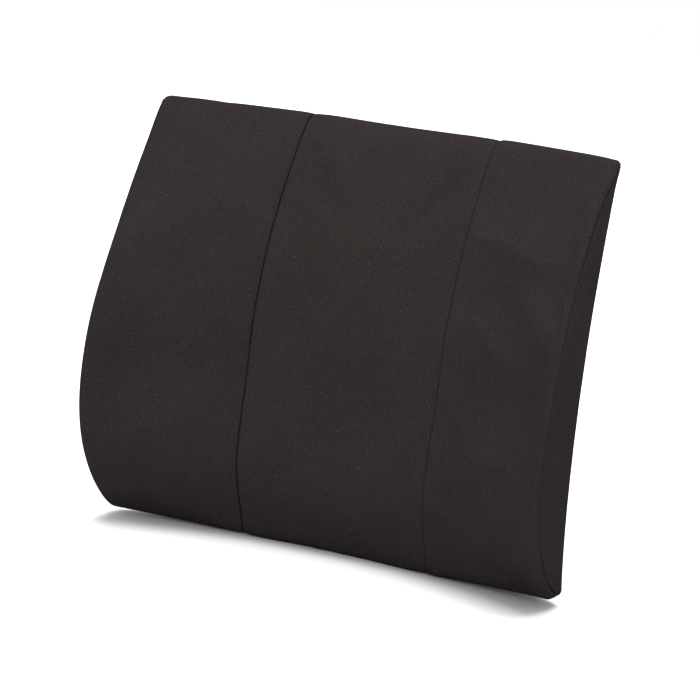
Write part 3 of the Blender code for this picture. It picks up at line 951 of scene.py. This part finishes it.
def place_on(shape, angle):
    """The place on a convex outline in a direction from its inside."""
    direction = Vector((cos(angle), sin(angle)))
    rounding = 1e-6
    found = None
    for (ax, az), (bx, bz) in zip(shape, shape[1:] + shape[:1]):
        edge = Vector((bx - ax, bz - az))
        across = direction.cross(edge)
        if abs(across) < 1e-12:
            continue
        distance = Vector((ax, az)).cross(edge) / across
        share = Vector((ax, az)).cross(direction) / across
        if distance > 0 and -rounding <= share <= 1 + rounding:
            found = direction * distance
    return found


def build_pull_tab(look):
    """A flat tab with an eye that the slider's bail passes through, and three ribs to grip."""
    low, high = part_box("zip_pull_tab")
    half_wide = high.x
    eye_half_wide, eye_half_long = 1.6 * MM, 2.35 * MM
    eye_corner = 0.8 * MM
    end_wall = high.y - low.y
    eye_z = high.z - end_wall - eye_half_long
    top, bottom = high.z - eye_z, low.z - eye_z
    count = 64

    neck = half_wide * 0.78
    tab_shape = [(neck * 0.75, top), (neck, top * 0.8), (neck, -3.6 * MM), (half_wide, -7 * MM)]
    tab_shape += [(half_wide, bottom * 0.93), (half_wide * 0.7, bottom)]
    tab_shape += [(-x, z) for x, z in tab_shape[::-1]]
    eye_shape = rounded_rectangle(eye_half_wide, eye_half_long, eye_corner)
    angles = [2 * pi * k / count for k in range(count)]
    points = []
    for y in (low.y, high.y):
        for shape in (tab_shape, eye_shape):
            ring = [place_on(shape, angle) for angle in angles]
            points += [(p.x, y, eye_z + p.y) for p in ring]
    faces = []
    for i in range(count):
        j = (i + 1) % count
        faces.append([i, j, count + j, count + i])
        faces.append([2 * count + i, 3 * count + i, 3 * count + j, 2 * count + j])
        faces.append([i, 2 * count + i, 2 * count + j, j])
        faces.append([count + i, count + j, 3 * count + j, 3 * count + i])
    tab = mesh_object("zip_pull_tab_plate", points, faces, look)
    bevelled(tab, 0.25 * MM)
    belongs(tab, "pull_tab", "zip_metal", "zip_pull_tab")

    first_rib, rib_pitch, rib_radius = 3.2 * MM, 2 * MM, 0.32 * MM
    ribs = []
    for k in range(3):
        z = low.z + first_rib + rib_pitch * k
        path = [(x, high.y, z) for x in np.linspace(-0.62, 0.62, 7) * half_wide]
        ribs.append(tube(path, rib_radius, 8))
    grip = mesh_object("zip_pull_tab_ribs", *joined(ribs), look)
    belongs(grip, "pull_tab", "zip_metal")


# ------------ materials


class Nodes:
    """A short way to write a material's nodes."""

    def __init__(self, name):
        self.material = bpy.data.materials.new(name)
        self.material.use_nodes = True
        self.tree = self.material.node_tree
        self.shader = self.tree.nodes["Principled BSDF"]

    def add(self, kind, inputs=None, **settings):
        node = self.tree.nodes.new(kind)
        for key, value in settings.items():
            setattr(node, key, value)
        for key, value in (inputs or {}).items():
            self.set(node.inputs[key], value)
        return node

    def set(self, socket, value):
        if isinstance(value, bpy.types.NodeSocket):
            self.tree.links.new(value, socket)
        else:
            socket.default_value = value

    def math(self, operation, *values, clamp=False):
        node = self.add("ShaderNodeMath", operation=operation, use_clamp=clamp)
        for socket, value in zip(node.inputs, values):
            self.set(socket, value)
        return node.outputs[0]

    def noise(self, vector, scale, detail=2.0, roughness=0.5):
        inputs = {"Vector": vector, "Scale": scale, "Detail": detail, "Roughness": roughness}
        return self.add("ShaderNodeTexNoise", inputs).outputs["Fac"]

    def mix(self, share, a, b):
        node = self.add("ShaderNodeMix", data_type="RGBA")
        self.set(node.inputs["Factor"], share)
        self.set(node.inputs["A"], a)
        self.set(node.inputs["B"], b)
        return node.outputs["Result"]

    def remap(self, value, low, high, to_low=0.0, to_high=1.0):
        inputs = {"Value": value, "From Min": low, "From Max": high, "To Min": to_low, "To Max": to_high}
        return self.add("ShaderNodeMapRange", inputs).outputs["Result"]

    def wave(self, value, length):
        """-1 to 1 and back over a length."""
        return self.math("SINE", self.math("MULTIPLY", value, 2 * pi / length))

    def stretched(self, vector, scale, turn=0.0):
        inputs = {"Vector": vector, "Rotation": (0.0, 0.0, turn), "Scale": scale}
        return self.add("ShaderNodeMapping", inputs).outputs["Vector"]

    def place(self):
        return self.add("ShaderNodeNewGeometry").outputs["Position"]

    def cloth_place(self):
        """The place on a cloth, in metres across it and along it."""
        return self.add("ShaderNodeUVMap", uv_map="cloth").outputs["UV"]

    def look(self, **values):
        """Sets the shader's inputs, named in lower case with underscores."""
        for key, value in values.items():
            words = key.replace("_", " ").title().replace("Ior", "IOR")
            self.set(self.shader.inputs[words], value)

    def bump(self, height, distance, normal=None):
        node = self.add("ShaderNodeBump", {"Height": height, "Distance": distance})
        if normal is not None:
            self.set(node.inputs["Normal"], normal)
        return node.outputs["Normal"]


def rgb(r, g, b):
    return (r, g, b, 1.0)


def cover_cloth():
    """Plain-woven charcoal poly-cotton: fine threads, uneven yarn, a faint sheen and a little lint."""
    yarn_pitch = 0.55 * MM
    n = Nodes("cover_cloth")
    uv = n.cloth_place()
    place = n.place()
    parts = n.add("ShaderNodeSeparateXYZ", {"Vector": uv})
    warp, weft = (n.wave(parts.outputs[axis], yarn_pitch) for axis in "XY")
    weave = n.math("MULTIPLY", warp, weft)
    warp_slubs = n.noise(n.stretched(uv, (1500.0, 260.0, 1.0)), 1.0)
    weft_slubs = n.noise(n.stretched(uv, (200.0, 1500.0, 1.0)), 1.0)
    yarn = n.math("ADD", warp_slubs, weft_slubs)
    grain = n.noise(place, 1250.0, 2.0, 0.7)
    patches = n.noise(place, 14.0, 3.0, 0.6)

    tone = n.math("ADD", n.remap(yarn, 0.6, 1.4, -0.14, 0.14), n.remap(grain, 0.3, 0.7, -0.1, 0.7))
    tone = n.math("ADD", tone, n.remap(weave, -1.0, 1.0, -0.06, 0.06))
    tone = n.math("ADD", tone, n.remap(patches, 0.3, 0.7, 0.08, 0.22), clamp=True)
    colour = n.mix(tone, rgb(0.0100, 0.0084, 0.0081), rgb(0.0290, 0.0248, 0.0237))
    lint = n.math("MULTIPLY", lint_specks(n, uv), 0.5)
    n.look(
        base_color=n.mix(lint, colour, rgb(0.10, 0.097, 0.094)),
        roughness=0.92,
        specular_ior_level=0.0,
        sheen_weight=0.003,
        sheen_roughness=0.3,
        sheen_tint=rgb(0.80, 0.74, 0.72),
        normal=n.bump(weave, 0.05 * MM, normal=n.bump(yarn, 0.08 * MM)),
    )
    return n.material


def lint_specks(n, uv):
    """1 on the specks of lint: short pale fibres, scattered over the cloth, no two of a size."""
    inputs = {"Vector": n.stretched(uv, (1.0, 0.55, 1.0), turn=0.6), "Scale": 85.0}
    cell = n.add("ShaderNodeTexVoronoi", inputs, voronoi_dimensions="2D")
    lot = n.add("ShaderNodeSeparateColor", {"Color": cell.outputs["Color"]})
    reach = n.remap(lot.outputs["Red"], 0.5, 1.0, 0.0, 0.027)
    return n.math("LESS_THAN", cell.outputs["Distance"], reach)


def open_cell_foam():
    """Pale cream polyurethane: fine open cells, a few larger ones, and a faint mottle from ageing."""
    n = Nodes("open_cell_foam")
    place = n.place()
    fine = n.add("ShaderNodeTexVoronoi", {"Vector": place, "Scale": 1300.0}).outputs["Distance"]
    coarse = n.add("ShaderNodeTexVoronoi", {"Vector": place, "Scale": 420.0}).outputs["Distance"]
    cells = n.math("MULTIPLY", fine, n.remap(coarse, 0.0, 0.3, 0.3, 1.0))
    colour = n.mix(n.remap(cells, 0.05, 0.6), rgb(0.52, 0.44, 0.28), rgb(0.84, 0.77, 0.58))
    mottle = n.remap(n.noise(place, 22.0, 3.0), 0.35, 0.7, 0.0, 0.25)
    n.look(
        base_color=n.mix(mottle, colour, rgb(0.70, 0.57, 0.33)),
        roughness=0.95,
        specular_ior_level=0.2,
        normal=n.bump(cells, 0.5 * MM),
    )
    return n.material


def hardboard():
    """Brown pressed fibreboard: short fibres in every direction, smoother where the press polished it."""
    n = Nodes("hardboard")
    place = n.place()
    level = n.noise(n.stretched(place, (140.0, 300.0, 900.0)), 1.0, 3.0)
    upright = n.noise(n.stretched(place, (900.0, 300.0, 140.0)), 1.0, 3.0)
    fibres = n.math("MAXIMUM", level, upright)
    blotches = n.remap(n.noise(place, 30.0, 3.0), 0.3, 0.7, -0.25, 0.25)
    tone = n.math("ADD", n.remap(fibres, 0.45, 0.7), blotches, clamp=True)
    n.look(
        base_color=n.mix(tone, rgb(0.115, 0.052, 0.022), rgb(0.27, 0.145, 0.07)),
        roughness=n.remap(fibres, 0.4, 0.75, 0.45, 0.75),
        normal=n.bump(fibres, 0.1 * MM),
    )
    return n.material


def black_thread():
    """Twisted polyester thread: its plies wind round it, and its fibres catch a little light."""
    n = Nodes("black_thread")
    inputs = {"Vector": n.place(), "Scale": 700.0, "Distortion": 1.5, "Detail": 1.0}
    bands = n.add("ShaderNodeTexWave", inputs, wave_type="BANDS", bands_direction="DIAGONAL")
    plies = bands.outputs["Fac"]
    n.look(
        base_color=n.mix(plies, rgb(0.006, 0.0055, 0.005), rgb(0.018, 0.016, 0.015)),
        roughness=0.6,
        sheen_weight=0.1,
        normal=n.bump(plies, 0.08 * MM),
    )
    return n.material


def zip_tape_cloth():
    """Black woven tape: ribs along it, crossed by fine slanting picks."""
    n = Nodes("zip_tape_cloth")
    parts = n.add("ShaderNodeSeparateXYZ", {"Vector": n.cloth_place()})
    ribs = n.wave(parts.outputs["X"], 0.7 * MM)
    diagonal = n.math("ADD", parts.outputs["Y"], n.math("MULTIPLY", parts.outputs["X"], 1.5))
    picks = n.wave(diagonal, 0.45 * MM)
    weave = n.math("ADD", n.math("MULTIPLY", ribs, 0.6), n.math("MULTIPLY", picks, 0.4))
    fuzz = n.remap(n.noise(n.place(), 900.0, 2.0), 0.3, 0.7, 0.0, 0.4)
    tone = n.math("ADD", n.remap(weave, -1.0, 1.0, 0.0, 0.7), fuzz, clamp=True)
    n.look(
        base_color=n.mix(tone, rgb(0.008, 0.008, 0.0085), rgb(0.034, 0.033, 0.034)),
        roughness=0.8,
        sheen_weight=0.15,
        normal=n.bump(weave, 0.1 * MM),
    )
    return n.material


def nylon():
    """Black nylon, lightly scuffed."""
    n = Nodes("black_nylon")
    scuffs = n.noise(n.place(), 600.0, 3.0)
    n.look(
        base_color=n.mix(scuffs, rgb(0.007, 0.007, 0.008), rgb(0.02, 0.02, 0.021)),
        roughness=n.remap(scuffs, 0.3, 0.7, 0.3, 0.5),
        normal=n.bump(scuffs, 0.02 * MM),
    )
    return n.material


def painted_metal():
    """Black paint over zinc alloy: an orange-peel surface, worn to bare metal along its edges."""
    n = Nodes("painted_metal")
    geometry = n.add("ShaderNodeNewGeometry")
    place = geometry.outputs["Position"]
    scuffs = n.noise(place, 1500.0, 3.0)
    edge = n.remap(geometry.outputs["Pointiness"], 0.54, 0.62)
    worn = n.math("MULTIPLY", edge, n.remap(scuffs, 0.45, 0.62), clamp=True)
    paint = n.mix(n.noise(place, 500.0), rgb(0.014, 0.014, 0.015), rgb(0.03, 0.03, 0.032))
    n.look(
        base_color=n.mix(worn, paint, rgb(0.30, 0.29, 0.28)),
        metallic=worn,
        roughness=n.remap(scuffs, 0.3, 0.7, 0.28, 0.42),
        normal=n.bump(scuffs, 0.02 * MM),
    )
    return n.material


# ------------ studio and camera

# The camera looks at the cushion from its right and a little from above, with its own level tilted
CAMERA_AZIMUTH = radians(22.76)
CAMERA_ELEVATION = radians(8.24)
CAMERA_ROLL = radians(7.10)
CAMERA_DISTANCE = 1.838
CAMERA_LENS = 128.9
CAMERA_SENSOR = 36.0
CAMERA_LEFT_BY, CAMERA_DOWN_BY = 7.0 * MM, 4.8 * MM

FLOOR_REACH = 40.0
FLOOR_GREY = 0.68
SUN_STRENGTH = 4.9
SUN_ANGLE = radians(50)


def camera():
    level_toward = Vector((sin(CAMERA_AZIMUTH), -cos(CAMERA_AZIMUTH), 0.0))
    toward = level_toward * cos(CAMERA_ELEVATION) + Vector((0.0, 0.0, sin(CAMERA_ELEVATION)))
    level = Vector((cos(CAMERA_AZIMUTH), sin(CAMERA_AZIMUTH), 0.0))
    up = toward.cross(level)
    right = cos(CAMERA_ROLL) * level + sin(CAMERA_ROLL) * up
    over = -sin(CAMERA_ROLL) * level + cos(CAMERA_ROLL) * up
    target = Vector((0.0, WING_LINE, HEIGHT / 2))
    place = target + toward * CAMERA_DISTANCE - right * CAMERA_LEFT_BY - over * CAMERA_DOWN_BY
    data = bpy.data.cameras.new("camera")
    data.lens = CAMERA_LENS
    data.sensor_width = CAMERA_SENSOR
    data.clip_end = 2 * FLOOR_REACH + 20.0
    obj = new_object("camera", data)
    turn = Matrix((right, over, toward)).transposed()
    obj.matrix_world = Matrix.Translation(place) @ turn.to_4x4()
    bpy.context.scene.camera = obj


def floor():
    """A wide pale floor, lit so brightly that it meets the white sky without a horizon."""
    n = Nodes("floor")
    n.look(base_color=rgb(FLOOR_GREY, FLOOR_GREY, FLOOR_GREY), roughness=0.9)
    low, high = Vector((-FLOOR_REACH, -FLOOR_REACH, 0.0)), Vector((FLOOR_REACH, FLOOR_REACH, 0.0))
    mesh = bpy.data.meshes.new("floor")
    mesh.from_pydata(box_outline(low, high), [], [(0, 1, 2, 3)])
    mesh.materials.append(n.material)
    new_object("floor", mesh)


def area_light(name, place, target, side, watts):
    """A square light at a place, aimed at a target."""
    data = bpy.data.lights.new(name, "AREA")
    data.size = side
    data.energy = watts
    obj = new_object(name, data)
    obj.location = place
    aim = Vector(target) - Vector(place)
    obj.rotation_euler = aim.to_track_quat("-Z", "Y").to_euler()


def sun_light(name, strength, angle):
    """A wide, soft light from straight above, which also keeps the floor white out to its edge."""
    data = bpy.data.lights.new(name, "SUN")
    data.energy = strength
    data.angle = angle
    new_object(name, data)


def studio():
    floor()
    middle = (0.0, 0.0, HEIGHT / 2)
    sun_light("top", SUN_STRENGTH, SUN_ANGLE)
    area_light("front", (0.2, -2.6, 0.7), middle, side=1.4, watts=28.0)
    area_light("left", (-2.6, 0.2, 0.6), middle, side=0.8, watts=10.0)
    world = bpy.data.worlds.new("world")
    world.use_nodes = True
    sky = world.node_tree.nodes["Background"]
    sky.inputs["Color"].default_value = rgb(1.0, 1.0, 1.0)
    sky.inputs["Strength"].default_value = 1.0
    bpy.context.scene.world = world
    bpy.context.scene.view_settings.view_transform = "Standard"


def main():
    camera()
    studio()
    panels = cover_panels()
    build_cover(panels, cover_cloth())
    build_foam(open_cell_foam())
    build_board(hardboard())
    build_threads(panels, black_thread())
    build_zip({"tape": zip_tape_cloth(), "coil": nylon(), "metal": painted_metal()})


main()
